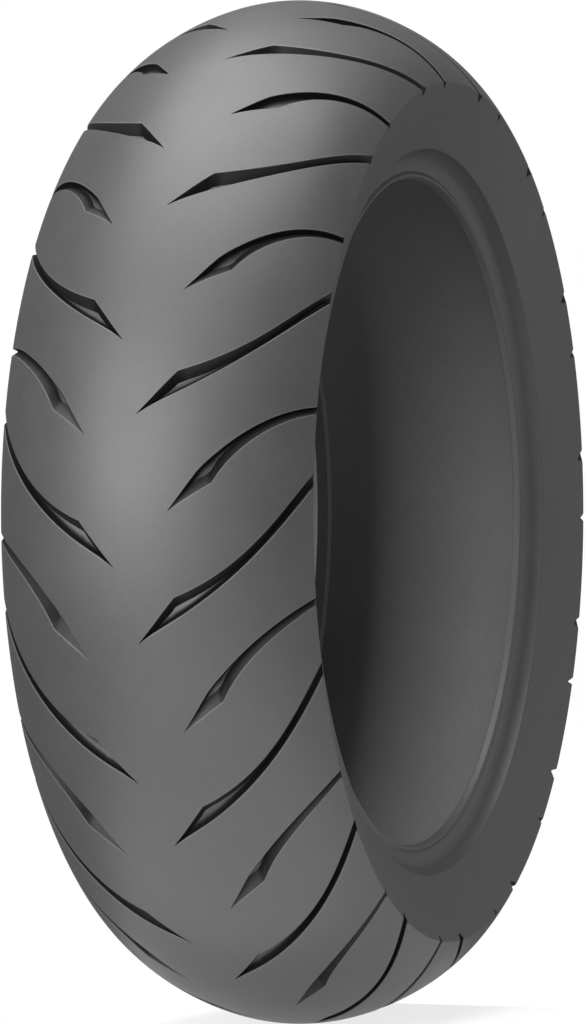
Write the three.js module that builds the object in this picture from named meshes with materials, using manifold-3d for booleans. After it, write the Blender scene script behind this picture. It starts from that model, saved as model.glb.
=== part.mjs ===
// A tubeless motorcycle tyre, bare of its wheel: millimetres, +Z up, axle along Y, origin at the centre.
// Every piece is a ring about the axle. A section is drawn in (across, radius), where across runs along the
// axle from the centre plane, and each section is drawn for the right half and mirrored for the left.
import * as THREE from "three";
import { mergeVertices } from "three/addons/utils/BufferGeometryUtils.js";
import Module from "manifold-3d";

const wasm = await Module();
wasm.setup();

// Bead, where the tyre seats on the rim, and the lip above it.
const TOE_RADIUS = 201.8; // a 16-inch bead seat is 202.8, and the rubber grips it
const TOE_HALF_WIDTH = 66.6;
const TOE_FACE_TILT = 18.3; // degrees the inner bead face leans towards the centre plane
const HEEL_RISE = 2.2; // how much larger the flat heel's inner radius is than the toe's
const HEEL_REACH = 4.4; // how much further out the heel stands, to rest against the rim flange
const HEEL_HEIGHT = 2.8;
const LIP_HEIGHT = 18.4; // toe to the rim-protecting lip at the foot of the sidewall
const LIP_REACH = 9.4; // how much further out the lip stands than the heel

// Outer shape.
const SECTION_HEIGHT = 110.2; // toe to the middle of the tread
const CROWN_RADIUS = TOE_RADIUS + SECTION_HEIGHT;
const TREAD_HALF_WIDTH = 95.5; // centre plane to the sharp shoulder edge
const SHOULDER_DROP = 52; // how much nearer the axle the shoulder is than the crown
const CROWN_ROUND_SHARE = 0.8234; // share of that drop that follows a plain parabola
const SHOULDER_ROLL_POWER = 9.2; // the rest rolls off late, close to the shoulder

// Bead details.
const FLANGE_SCOOP_DEPTH = 2.2; // hollow between heel and lip where the flange's rim lies
const CORE_WIDTH = 3; // bundle of bead wire
const CORE_HEIGHT = 5;
const CORE_LIFT = 8.5; // toe to the underside of the bundle
const FILLER_HEIGHT = 17; // rubber wedge on top of the bundle
const BEND_RISE = 0.6; // lifts the inner face's bend clear of the core, for each mm of liner and ply
const LINER_LAP = 4; // how far the liner runs down the inner bead face
const TURN_UP_SHARE = 0.6; // share of the wedge's outer face that the ply's turned-up end covers
const SEAM_SHARE = 0.5; // where the chafer ends and the sidewall begins, between heel and lip

// Layers, from the inside out, with the clearance kept between touching pieces.
const CLEARANCE = 0.3;
const LINER_THICKNESS = 1.1;
const PLY_THICKNESS = 0.8;
const BELT_THICKNESS = 1;
const BASE_THICKNESS = 1.8;
const CAP_THICKNESS = 8;
const SIDEWALL_THICKNESS = 4.6; // rubber outside the ply, just below the shoulder
const BELT_INSET = 21.5; // shoulder edge to the belt's edge
const BASE_INSET = 10.5; // shoulder edge to the edge of the tread base
const BELT_HALF_WIDTH = TREAD_HALF_WIDTH - BELT_INSET;
const BASE_HALF_WIDTH = TREAD_HALF_WIDTH - BASE_INSET;
const WING_LENGTH = 9; // tread rubber that wraps past the shoulder edge
const WING_ROOT_SHARE = 0.25; // how much of the sidewall's thickness is left behind the wing

// Tread pattern.
const PITCHES = 15; // repeats of the pattern round the tyre
const LEFT_SIDE_SHIFT = 8.07; // degrees the mirrored left side is turned on from the right side
const LONG_GROOVE_START = 10.05; // degrees from a short groove's tip to the next long groove's tip
const GROOVE_DEPTH = 5.6;
const SHOULDER_GROOVE_DEPTH = 4.2; // the grooves get shallower where they run out
const TIP_DEPTH = 0.5;
const CUTTER_RISE = 2.5; // how far a groove cutter stands proud of the tread
const CUTTER_OVERRUN = 27; // how far it runs on past the shoulder edge
const WALL_DRAFT = 0.16; // sideways lean of a groove wall for each mm of depth
const FLOOR_FADE_POWER = 4; // higher keeps a groove deep until nearer the shoulder
const SHARP_END_INSET = 0.8; // most of a narrow groove's half width that its lean may take

const SEGMENTS = 40; // every ring shares them, so nested rings keep their clearance
const CROWN_STATIONS = [0.21, 0.6, 0.9]; // shares of the tread's half width where the inner layers bend
const OUTER_STATIONS = [0, 0.3, 0.58, 0.82, 1]; // the same for the running surface
const DEG = Math.PI / 180;

const COLOURS = {
  treadRubber: { color: 0x4b4d50, roughness: 0.62 },
  baseRubber: { color: 0x3a3b3e, roughness: 0.7 },
  sidewallRubber: { color: 0x3f4144, roughness: 0.6 },
  linerRubber: { color: 0x2f3033, roughness: 0.45 },
  hardRubber: { color: 0x2a2b2d, roughness: 0.65 },
  cordedRubber: { color: 0x5b5348, roughness: 0.8 },
  beadSteel: { color: 0xb08d57, roughness: 0.35, metalness: 0.9 },
};

// Sections.

const point = (across, radius) => new THREE.Vector2(across, radius);

const mirrored = (line) => line.map((p) => point(-p.x, p.y)).reverse();

function crownRadius(across) {
  const t = Math.abs(across) / TREAD_HALF_WIDTH;
  const parabola = CROWN_ROUND_SHARE * t ** 2;
  const roll = (1 - CROWN_ROUND_SHARE) * t ** SHOULDER_ROLL_POWER;
  return CROWN_RADIUS - SHOULDER_DROP * (parabola + roll);
}

function crownNormal(across) {
  const step = 0.01;
  const slope = (crownRadius(across + step) - crownRadius(across - step)) / (2 * step);
  return point(-slope, 1).normalize();
}

// A point of the tread surface, sunk below it by depth along the surface's normal.
function belowCrown(across, depth) {
  return point(across, crownRadius(across)).addScaledVector(crownNormal(across), -depth);
}

// The line that runs beside another at a set distance, to the left of its direction of travel.
function beside(line, distance) {
  return line.map((p, i) => {
    const before = line[Math.max(i - 1, 0)];
    const after = line[Math.min(i + 1, line.length - 1)];
    const into = p.clone().sub(before);
    const onward = after.clone().sub(p);
    const first = (into.length() > 0 ? into : onward).clone().normalize();
    const second = (onward.length() > 0 ? onward : into).clone().normalize();
    const mitre = first.clone().add(second).normalize();
    const stretch = distance / mitre.dot(first);
    return point(p.x - mitre.y * stretch, p.y + mitre.x * stretch);
  });
}

function crossing(a, b, c, d) {
  const ab = b.clone().sub(a);
  const cd = d.clone().sub(c);
  const t = c.clone().sub(a).cross(cd) / ab.cross(cd);
  return a.clone().addScaledVector(ab, t);
}

const shoulder = point(TREAD_HALF_WIDTH, crownRadius(TREAD_HALF_WIDTH));
const toe = point(TOE_HALF_WIDTH, TOE_RADIUS);
const heel = point(TOE_HALF_WIDTH + HEEL_REACH, TOE_RADIUS + HEEL_RISE);
const heelTop = point(heel.x, heel.y + HEEL_HEIGHT);
const lip = point(heel.x + LIP_REACH, TOE_RADIUS + LIP_HEIGHT);
const downSidewall = lip.clone().sub(shoulder).normalize();
const onSidewall = (fromShoulder) => shoulder.clone().addScaledVector(downSidewall, fromShoulder);
const inward = (p, depth) => p.clone().addScaledVector(point(downSidewall.y, -downSidewall.x), depth);

// Bead pieces are placed by their distance from the tilted inner face and their height up it from the toe.
const upFace = point(-Math.sin(TOE_FACE_TILT * DEG), Math.cos(TOE_FACE_TILT * DEG));
const fromFace = point(Math.cos(TOE_FACE_TILT * DEG), Math.sin(TOE_FACE_TILT * DEG));
const inBead = (off, up) => toe.clone().addScaledVector(fromFace, off).addScaledVector(upFace, up);

// Distances of each layer's two faces from the tyre's inside.
function stack(...thicknesses) {
  let level = 0;
  return thicknesses.map((thickness) => {
    const layer = { inner: level, outer: level + thickness };
    level = layer.outer + CLEARANCE;
    return layer;
  });
}
const [liner, ply, belt, base, cap] = stack(
  LINER_THICKNESS, PLY_THICKNESS, BELT_THICKNESS, BASE_THICKNESS, CAP_THICKNESS,
);

// The inner face of the right half, from the crown to the bead. A layer's own line runs beside it, over both
// halves of the tyre.
const coreTop = CORE_LIFT + CORE_HEIGHT;
const coreNear = ply.outer + CLEARANCE;
const coreFar = coreNear + CORE_WIDTH;
const bendUp = coreTop + BEND_RISE * coreNear; // where the bead's inner face turns out towards the sidewall
const linerEnd = bendUp - LINER_LAP;
const sidewallDepth = ply.outer + CLEARANCE + SIDEWALL_THICKNESS;
const insideCrown = CROWN_STATIONS.map((share) => belowCrown(share * TREAD_HALF_WIDTH, cap.outer));
const insideSidewall = [shoulder, lip].map((p) => inward(p, sidewallDepth));
const insideShoulder = crossing(insideCrown.at(-2), insideCrown.at(-1), ...insideSidewall);
const inside = [...insideCrown, insideShoulder, inBead(0, bendUp), inBead(0, linerEnd)];
const bothHalves = (half) => [...mirrored(half), ...half];
const lineAt = (distance) => beside(bothHalves(inside), distance);

// The part of a layer's line under the tread that lies within a half-width of the centre plane.
function within(halfWidth, distance) {
  const half = lineAt(distance).slice(inside.length);
  const beyond = half.findIndex((p) => p.x > halfWidth);
  const last = half[beyond - 1];
  const end = last.clone().lerp(half[beyond], (halfWidth - last.x) / (half[beyond].x - last.x));
  return bothHalves([...half.slice(0, beyond), end]);
}

function layerSection(layer, halfWidth) {
  return [...within(halfWidth, layer.inner), ...within(halfWidth, layer.outer).reverse()];
}

// Solids.

// The mesh and solid forms of a shape; vertices this close together (mm) count as one.
const MERGE_DISTANCE = 1e-3;

function geometryOf(solid) {
  const mesh = solid.getMesh();
  const geometry = new THREE.BufferGeometry();
  geometry.setAttribute("position", new THREE.BufferAttribute(mesh.vertProperties, 3));
  geometry.setIndex(new THREE.BufferAttribute(mesh.triVerts, 1));
  geometry.computeVertexNormals();
  return geometry;
}

function solidOf(geometry) {
  const bare = geometry.clone();
  bare.deleteAttribute("normal");
  bare.deleteAttribute("uv");
  const merged = mergeVertices(bare, MERGE_DISTANCE);
  return new wasm.Manifold(
    new wasm.Mesh({
      numProp: 3,
      vertProperties: merged.attributes.position.array,
      triVerts: new Uint32Array(merged.index.array),
    }),
  );
}

// A closed section turned about the axle. Lathe profiles are (radius, along the axle).
function ring(section) {
  const turnsLeft = THREE.ShapeUtils.area(section) > 0;
  const outline = turnsLeft ? [...section] : [...section].reverse();
  outline.push(outline[0]);
  return new THREE.LatheGeometry(outline.map((p) => new THREE.Vector2(p.y, p.x)).reverse(), SEGMENTS);
}

const tyre = new THREE.Group();

function add(name, geometry, colours) {
  const mesh = new THREE.Mesh(geometry, new THREE.MeshStandardMaterial(colours));
  mesh.name = name;
  tyre.add(mesh);
}

function addPair(name, section, colours) {
  add(name + "_right", ring(section), colours);
  add(name + "_left", ring(mirrored(section)), colours);
}

// Tread grooves. Each is given by stations from its tip to the shoulder: how far across the tread, and the
// angles round the tyre of its two edges, in degrees from its tip.
const RUN_OUT = 18.5; // shoulder edge to the station where the grooves start to turn out
const longGroove = [
  { across: 5.6, upper: 0.1, lower: -0.1 },
  { across: 28.2, upper: 5, lower: 2.55 },
  { across: 54, upper: 7.6, lower: 5.9 },
  { across: TREAD_HALF_WIDTH - RUN_OUT, upper: 12.1, lower: 10.5 },
  { across: TREAD_HALF_WIDTH, upper: 18.85, lower: 16.95 },
];
const shortGroove = [
  { across: 25.3, upper: 0.1, lower: -0.1 },
  { across: 42, upper: 4.6, lower: 2.1 },
  { across: 58, upper: 7.7, lower: 5.4 },
  { across: TREAD_HALF_WIDTH - RUN_OUT, upper: 10.9, lower: 9.3 },
  { across: TREAD_HALF_WIDTH, upper: 13.3, lower: 12.2 },
];

function onTyre(section, degrees) {
  const angle = degrees * DEG;
  return [section.y * Math.cos(angle), section.x, section.y * Math.sin(angle)];
}

// A closed bar that follows a groove's stations, with its top above the tread and its foot on the floor.
function grooveCutter(stations, start, side) {
  const corners = [];
  stations.forEach((station, i) => {
    const runOut = station.across / TREAD_HALF_WIDTH;
    const fade = runOut ** FLOOR_FADE_POWER;
    const floor = i ? THREE.MathUtils.lerp(GROOVE_DEPTH, SHOULDER_GROOVE_DEPTH, fade) : TIP_DEPTH;
    const lean = (WALL_DRAFT * floor) / (CROWN_RADIUS * DEG);
    const top = belowCrown(station.across, -CUTTER_RISE);
    const foot = belowCrown(station.across, floor);
    const half = (station.upper - station.lower) / 2;
    const inset = Math.min(lean, half * SHARP_END_INSET);
    corners.push([top, station.lower], [foot, station.lower + inset]);
    corners.push([foot, station.upper - inset], [top, station.upper]);
  });
  // The cutter runs on past the shoulder edge so that the groove opens through the sidewall.
  const past = corners.slice(-4);
  const outward = crownNormal(TREAD_HALF_WIDTH);
  const runOn = point(outward.y, -outward.x).multiplyScalar(CUTTER_OVERRUN);
  past.forEach(([section, degrees]) => corners.push([section.clone().add(runOn), degrees]));
  const positions = corners.flatMap(([section, degrees]) =>
    onTyre(point(side * section.x, section.y), start + degrees));
  const faces = [];
  const quad = (a, b, c, d) => faces.push(a, b, c, a, c, d);
  const rings = corners.length / 4;
  for (let i = 0; i < rings - 1; i++)
    for (let k = 0; k < 4; k++)
      quad(4 * i + k, 4 * i + ((k + 1) % 4), 4 * i + 4 + ((k + 1) % 4), 4 * i + 4 + k);
  quad(3, 2, 1, 0);
  quad(4 * rings - 4, 4 * rings - 3, 4 * rings - 2, 4 * rings - 1);
  if (side < 0) faces.reverse();
  const geometry = new THREE.BufferGeometry();
  geometry.setAttribute("position", new THREE.Float32BufferAttribute(positions, 3));
  geometry.setIndex(faces);
  return solidOf(geometry);
}

// Tread cap: the grooved running band, wrapped a little way past both shoulder edges.
const outerHalf = OUTER_STATIONS.map((share) => belowCrown(share * TREAD_HALF_WIDTH, 0));
const wingFoot = onSidewall(WING_LENGTH);
const shoulderInside = lineAt(belt.inner).at(-3);
const wingRoot = shoulderInside.clone().lerp(shoulder, WING_ROOT_SHARE);
const capInside = within(BASE_HALF_WIDTH, cap.inner);
const capSection = [
  ...mirrored([...outerHalf.slice(1), wingFoot, wingRoot]),
  ...outerHalf,
  wingFoot,
  wingRoot,
  ...[...capInside].reverse(),
];
let treadCap = solidOf(ring(capSection));
for (let pitch = 0; pitch < PITCHES; pitch++) {
  const turn = (360 / PITCHES) * pitch;
  for (const side of [1, -1]) {
    const start = turn + (side < 0 ? LEFT_SIDE_SHIFT : 0);
    treadCap = treadCap.subtract(grooveCutter(shortGroove, start, side));
    treadCap = treadCap.subtract(grooveCutter(longGroove, start + LONG_GROOVE_START, side));
  }
}
add("tread_cap", geometryOf(treadCap), COLOURS.treadRubber);

// Tread base: the softer cushion under the cap. Belt: cord wound round the crown, which holds its shape.
add("tread_base", ring(layerSection(base, BASE_HALF_WIDTH)), COLOURS.baseRubber);
add("belt", ring(layerSection(belt, BELT_HALF_WIDTH)), COLOURS.cordedRubber);

// Belt edge strips: rubber that fills the space beyond each end of the belt.
const beltEnd = BELT_HALF_WIDTH + CLEARANCE;
const beyondBelt = (distance) => {
  const line = within(BASE_HALF_WIDTH, distance).filter((p) => p.x > beltEnd);
  return [within(beltEnd, distance).at(-1), ...line];
};
addPair(
  "belt_edge_strip",
  [...beyondBelt(belt.inner), ...beyondBelt(belt.outer).reverse()],
  COLOURS.baseRubber,
);

// Inner liner: the airtight skin, from bead to bead.
add("inner_liner", ring([...lineAt(liner.inner), ...lineAt(liner.outer).reverse()]), COLOURS.linerRubber);

// Bead core: the bundle of wire that holds the tyre on the rim.
const coreFoot = [inBead(coreNear, CORE_LIFT), inBead(coreFar, CORE_LIFT)];
addPair("bead_core", [...coreFoot, inBead(coreFar, coreTop), inBead(coreNear, coreTop)], COLOURS.beadSteel);

// Bead filler: the hard wedge that stands on the core and stiffens the foot of the sidewall.
const plySide = lineAt(coreNear).slice(-3, -1).reverse();
const upPly = plySide[1].clone().sub(plySide[0]).normalize();
const fillerTip = plySide[0].clone().addScaledVector(upPly, FILLER_HEIGHT);
const fillerFoot = inBead(coreFar, coreTop + CLEARANCE);
const coreLid = [inBead(coreNear, coreTop + CLEARANCE), fillerFoot];
const fillerHeel = crossing(...plySide, ...coreLid);
addPair("bead_filler", [fillerHeel, fillerFoot, fillerTip], COLOURS.hardRubber);

// Carcass ply: one layer of cord from bead to bead. It wraps under each core and turns up beside the filler.
const turnUpEnd = fillerFoot.clone().lerp(fillerTip, TURN_UP_SHARE);
const aroundCore = [
  ...lineAt(coreNear).slice(inside.length, -1),
  ...coreFoot,
  fillerFoot,
  turnUpEnd,
];
const wrapLine = (distance) => beside(bothHalves(aroundCore), -distance);
const plyNear = wrapLine(CLEARANCE);
const plyFar = wrapLine(CLEARANCE + PLY_THICKNESS);
add("carcass_ply", ring([...plyNear, ...plyFar.reverse()]), COLOURS.cordedRubber);

// The hollow between heel and lip where the edge of the rim flange lies.
const acrossScoop = lip.clone().sub(heelTop).normalize();
function inScoop(share) {
  const sink = 4 * FLANGE_SCOOP_DEPTH * share * (1 - share);
  return heelTop.clone().lerp(lip, share).addScaledVector(point(-acrossScoop.y, acrossScoop.x), sink);
}

// Chafer: the tough strip that meets the rim, from the inside of the bead round to the flange hollow.
const overPly = wrapLine(2 * CLEARANCE + PLY_THICKNESS).slice(-4);
const seamInner = overPly[1].clone().lerp(overPly[2], SEAM_SHARE);
const seamOuter = inScoop(SEAM_SHARE);
addPair(
  "chafer",
  [
    inBead(0, linerEnd - CLEARANCE),
    toe,
    heel,
    heelTop,
    inScoop(SEAM_SHARE / 2),
    seamOuter,
    seamInner,
    overPly[1],
    overPly[0],
    inBead(LINER_THICKNESS, linerEnd - CLEARANCE),
  ],
  COLOURS.hardRubber,
);

// Sidewall: the flexing flank, from the tread's wing down to the lip and into the flange hollow.
const alongSeam = seamOuter.clone().sub(seamInner).normalize();
const seamLift = point(-alongSeam.y, alongSeam.x).multiplyScalar(CLEARANCE);
const turnUpAlong = fillerTip.clone().sub(fillerFoot).normalize();
const overFiller = beside([fillerFoot, fillerTip], -CLEARANCE);
const pastTurnUp = (p) => p.clone().addScaledVector(turnUpAlong, CLEARANCE);
const besideTurnUp = overFiller[0].clone().lerp(overFiller[1], TURN_UP_SHARE);
const aboveFiller = crossing(...overFiller, ...plySide);
const underTread = within(BASE_HALF_WIDTH + CLEARANCE, belt.inner).at(-1);
const underCap = within(BASE_HALF_WIDTH + CLEARANCE, base.outer).at(-1);
const wingSeam = beside([wingFoot, wingRoot, capInside.at(-1)], CLEARANCE);
addPair(
  "sidewall",
  [
    wingSeam[0],
    lip,
    inScoop((1 + SEAM_SHARE) / 2),
    seamOuter.clone().add(seamLift),
    seamInner.clone().add(seamLift),
    overPly[2],
    pastTurnUp(overPly[3]),
    pastTurnUp(besideTurnUp),
    aboveFiller,
    shoulderInside,
    underTread,
    underCap,
    wingSeam[1],
  ],
  COLOURS.sidewallRubber,
);

export default tyre;
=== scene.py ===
# %% [markdown]
# A bare motorcycle tyre stands on its tread. It is a set of rings about one axle: the grooved tread,
# two sidewalls, the chafers that meet the rim, and the layers that lie hidden between them. Each ring
# is drawn as a section and turned about the axle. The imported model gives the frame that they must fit.

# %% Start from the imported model
import math

import bpy
import numpy as np
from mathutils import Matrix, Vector


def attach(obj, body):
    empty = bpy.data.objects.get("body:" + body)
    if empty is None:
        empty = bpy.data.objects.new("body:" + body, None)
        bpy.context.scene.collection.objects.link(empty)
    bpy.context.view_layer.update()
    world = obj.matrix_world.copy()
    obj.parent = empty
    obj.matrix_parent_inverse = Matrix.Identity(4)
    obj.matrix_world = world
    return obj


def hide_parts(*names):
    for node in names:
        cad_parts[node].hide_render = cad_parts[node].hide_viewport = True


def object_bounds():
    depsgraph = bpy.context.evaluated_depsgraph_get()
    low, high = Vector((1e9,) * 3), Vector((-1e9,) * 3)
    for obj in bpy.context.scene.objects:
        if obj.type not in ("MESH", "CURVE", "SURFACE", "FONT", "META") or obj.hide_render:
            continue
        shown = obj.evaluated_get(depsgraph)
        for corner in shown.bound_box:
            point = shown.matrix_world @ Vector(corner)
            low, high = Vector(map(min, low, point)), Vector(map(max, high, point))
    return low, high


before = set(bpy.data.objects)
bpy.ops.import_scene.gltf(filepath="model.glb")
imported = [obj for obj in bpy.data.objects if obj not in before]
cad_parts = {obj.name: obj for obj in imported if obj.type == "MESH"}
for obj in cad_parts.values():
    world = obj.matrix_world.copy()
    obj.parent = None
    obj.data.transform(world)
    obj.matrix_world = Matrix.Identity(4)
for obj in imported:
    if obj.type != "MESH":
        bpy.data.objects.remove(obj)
cad_box = [list(corner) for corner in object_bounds()]
MM = 0.001
print("nodes:", len(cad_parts), "box:", cad_box)

# %% [markdown]
# A tyre is drawn from a few sizes: crown radius, tread width, how far the shoulder drops, the lip that
# guards the rim, and the bead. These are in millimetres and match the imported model. The other places
# are worked out from them, so a size is written once.

# %% Sizes of the section, in millimetres
CROWN_RADIUS = 312  # axle to the middle of the tread
TREAD_HALF_WIDTH = 95.5  # centre plane to the sharp shoulder edge
SHOULDER_DROP = 52  # how much nearer the axle the shoulder is
CROWN_ROUND_SHARE = 0.8234  # share of that drop that follows a parabola
SHOULDER_ROLL_POWER = 9.2  # the rest rolls off late, close to the shoulder
LIP = Vector((80.4, 220.2))  # rim-protecting lip: across, radius
LIP_ROUND = 0.9
TOE = Vector((66.6, 201.8))  # innermost corner of the bead
TOE_FACE_TILT = 18.3  # degrees the inner bead face leans towards the centre
TOE_ROUND = 0.5
HEEL = Vector((71.7, 203.8))  # crest of the roll that rests on the rim flange
HEEL_ROUND = 1.5
HEEL_TOP = Vector((69.7, 206.9))  # end of the heel's flat, where the flange hollow begins
CREASE_ROUND = 0.5  # where the heel's flat turns into the flange hollow
FLANGE_SCOOP_DEPTH = 2.2  # of the hollow, below a straight line from heel to lip
CORE_WIDTH = 3  # of the bundle of bead wire
CORE_HEIGHT = 5
CORE_LIFT = 8.5  # from the toe up to the bundle
FILLER_HEIGHT = 17
BEND_RISE = 0.6  # the inside bends this share of the bundle's depth above its top
LINER_LAP = 4  # how far the liner runs down past that bend
TURN_UP_SHARE = 0.6  # share of the filler that the turned-up ply covers
SEAM_SHARE = 0.5  # where chafer and sidewall meet, from heel to lip
WING_LENGTH = 9  # how far the tread wraps down the sidewall
WING_ROOT_SHARE = 0.25  # how far the wing's foot leans in towards its root
WING_ROOT_LOWER = 3  # how far below the shoulder that root lies
INNER_SHOULDER_ROUND = 12
print("outside diameter", 2 * CROWN_RADIUS, "mm, width", 2 * TREAD_HALF_WIDTH, "mm")

# %% [markdown]
# The layers lie one on another with a small clearance, from the airtight liner out to the tread. Each
# layer is known by how far its two faces are from the tyre's inside. The list below is their
# thicknesses, and the loop stacks them up.

# %% Layers, from the inside out
CLEARANCE = 0.3
SIDEWALL_THICKNESS = 4.6
BELT_HALF_WIDTH = 74  # the belt stops short of the shoulder, and the base a little later
BASE_HALF_WIDTH = 85
THICKNESSES = {"liner": 1.1, "ply": 0.8, "belt": 1.0, "base": 1.8, "cap": 8.0}
inner_face, outer_face = {}, {}
level = 0
for layer, thickness in THICKNESSES.items():
    inner_face[layer], outer_face[layer] = level, level + thickness
    level += thickness + CLEARANCE
print("rubber at the crown:", outer_face["cap"], "mm")

# %% [markdown]
# The running surface is a curve that drops slowly and then rolls over near the shoulder. A formula
# gives its radius at any place across, and its slope gives the normal. The same two functions later
# place the grooves and set the shading, so all three agree exactly.

# %% The crown curve
def crown_radius(across):
    t = abs(across) / TREAD_HALF_WIDTH
    roll = (1 - CROWN_ROUND_SHARE) * t**SHOULDER_ROLL_POWER
    return CROWN_RADIUS - SHOULDER_DROP * (CROWN_ROUND_SHARE * t**2 + roll)


def crown_normal(across, step=0.01):
    slope = (crown_radius(across + step) - crown_radius(across - step)) / (2 * step)
    return Vector((-slope, 1)).normalized()


def below_crown(across, depth):
    """A point of the running surface, sunk along its normal."""
    return Vector((across, crown_radius(across))) - depth * crown_normal(across)


shoulder = below_crown(TREAD_HALF_WIDTH, 0)
print("shoulder at", tuple(round(x, 2) for x in shoulder))

# %% [markdown]
# Sections are lists of flat points. A few small helpers cover all of them: the mirror image for the
# other side, a line that runs beside another, the crossing of two lines, a rounded corner and a
# straight run. A corner of real rubber is never sharp to the eye, so the bead and the lip are rounded.

# %% Helpers that draw sections
def mirrored(line):
    return [Vector((-p.x, p.y)) for p in reversed(line)]


def both_halves(half):
    return mirrored(half) + list(half)


def beside(line, distance):
    """The line a set distance to the left of another, along its direction of travel."""
    made = []
    for i, p in enumerate(line):
        before, after = line[max(i - 1, 0)], line[min(i + 1, len(line) - 1)]
        into, onward = p - before, after - p
        first = (into if into.length > 0 else onward).normalized()
        second = (onward if onward.length > 0 else into).normalized()
        mitre = (first + second).normalized()
        stretch = distance / mitre.dot(first)
        made.append(Vector((p.x - mitre.y * stretch, p.y + mitre.x * stretch)))
    return made


def crossing(a, b, c, d):
    ab, cd = b - a, d - c
    return a + ab * ((c - a).cross(cd) / ab.cross(cd))


def rounded(before, corner, after, radius, steps=6):
    """An arc of the given radius in place of a corner."""
    back, on = (before - corner).normalized(), (after - corner).normalized()
    half = back.angle(on) / 2
    centre = corner + (back + on).normalized() * radius / math.sin(half)
    start = corner + back * radius / math.tan(half) - centre
    end = corner + on * radius / math.tan(half) - centre
    turn = start.angle(end)
    made = []
    for i in range(steps + 1):
        share = i / steps
        from_start = math.sin((1 - share) * turn) / math.sin(turn)
        from_end = math.sin(share * turn) / math.sin(turn)
        made.append(centre + start * from_start + end * from_end)
    return made


def straight(start, end, margin=0.35, steps=3):
    """Points along a straight run, with one close to each end so that its shading stays flat."""
    near = min(margin / (end - start).length, 0.3)
    shares = [near + (1 - 2 * near) * i / steps for i in range(steps + 1)]
    return [start.lerp(end, share) for share in shares]


# %% [markdown]
# The inside of the tyre is the line that every layer follows. Under the tread it runs level with the
# crown, at the shoulder it turns down the sidewall, and at the bead it leans back to the toe. Bead
# pieces are placed by their distance from that leaning face and their height above the toe.

# %% The inside line and the layers' lines
down_sidewall = (LIP - shoulder).normalized()
into_rubber = Vector((down_sidewall.y, -down_sidewall.x))
tilt = math.radians(TOE_FACE_TILT)
up_face = Vector((-math.sin(tilt), math.cos(tilt)))
from_face = Vector((math.cos(tilt), math.sin(tilt)))


def in_bead(off, up):
    return TOE + off * from_face + up * up_face


core_top = CORE_LIFT + CORE_HEIGHT
core_near = outer_face["ply"] + CLEARANCE
core_far = core_near + CORE_WIDTH
bend_up = core_top + BEND_RISE * core_near
liner_end = bend_up - LINER_LAP
CROWN_STEPS = 18
INSIDE_CROWN_END = 0.86  # share of the half width where the inner shoulder's round begins
under_crown = [
    below_crown(TREAD_HALF_WIDTH * INSIDE_CROWN_END * (i + 0.5) / CROWN_STEPS, outer_face["cap"])
    for i in range(CROWN_STEPS)
]
wall_depth = core_near + SIDEWALL_THICKNESS
inside_wall = [p + wall_depth * into_rubber for p in (shoulder, LIP)]
inner_corner = crossing(under_crown[-2], under_crown[-1], *inside_wall)
bend, liner_foot = in_bead(0, bend_up), in_bead(0, liner_end)
inner_shoulder = rounded(under_crown[-1], inner_corner, bend, INNER_SHOULDER_ROUND, 8)
inside = [*under_crown, *inner_shoulder, bend, liner_foot]


def line_at(distance):
    return beside(both_halves(inside), distance)


def half_line(distance):
    return line_at(distance)[len(inside):]


def within(half_width, distance):
    """The part of a layer's line under the tread, between plus and minus a half width."""
    half = half_line(distance)
    beyond = next(i for i, p in enumerate(half) if p.x > half_width)
    last, following = half[beyond - 1], half[beyond]
    end = last.lerp(following, (half_width - last.x) / (following.x - last.x))
    return both_halves([*half[:beyond], end])


print("inside width", round(2 * max(p.x for p in inside), 1), "mm")

# %% [markdown]
# A ring piece is a closed section turned about the axle in small steps. Rings that can be seen use one
# step for each degree, which keeps their outline smooth to a hundredth of a millimetre. Hidden rings
# take two degrees. Corners sharper than a limit stay crisp and the rest is shaded smooth.

# %% Turn a section into a ring
SEEN_STEPS = 360
HIDDEN_STEPS = 180
CRISP_ANGLE = math.radians(32)


def on_tyre(p, degrees):
    """Metres, from a place in the section and an angle round the axle."""
    angle = math.radians(degrees)
    return (p.y * math.cos(angle) * MM, p.x * MM, p.y * math.sin(angle) * MM)


def signed_area(section):
    return sum(a.cross(b) for a, b in zip(section, section[1:] + section[:1])) / 2


def ring_mesh(name, sections, steps):
    points, faces = [], []
    for section in sections:
        outline = section if signed_area(section) > 0 else section[::-1]
        first, count = len(points), len(outline)
        for step in range(steps):
            points += [on_tyre(p, 360 * step / steps) for p in outline]
        for step in range(steps):
            here, there = first + step * count, first + (step + 1) % steps * count
            for i in range(count):
                j = (i + 1) % count
                faces.append((here + j, here + i, there + i, there + j))
    mesh = bpy.data.meshes.new(name)
    mesh.from_pydata(points, [], faces)
    mesh.shade_smooth()
    mesh.set_sharp_from_angle(angle=CRISP_ANGLE)
    return mesh


def add_piece(name, mesh, material, slot, *nodes):
    piece = bpy.data.objects.new(name, mesh)
    bpy.context.scene.collection.objects.link(piece)
    mesh.materials.clear()
    mesh.materials.append(material)
    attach(piece, "root")
    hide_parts(*nodes)
    print(name, len(mesh.polygons), "faces")


# %% [markdown]
# Materials share one helper that adds a node, sets it and wires it, and one that turns an sRGB hex
# colour into the linear numbers that shaders use. Four more cover the node groups that repeat: a noise
# in real millimetres, a sum, a ramp between two colours, and a number that slides between two limits.

# %% Helpers for materials
def linear(hex_colour):
    channels = [int(hex_colour[i : i + 2], 16) / 255 for i in (1, 3, 5)]
    lit = [c / 12.92 if c <= 0.04045 else ((c + 0.055) / 1.055) ** 2.4 for c in channels]
    return (*lit, 1)


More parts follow.
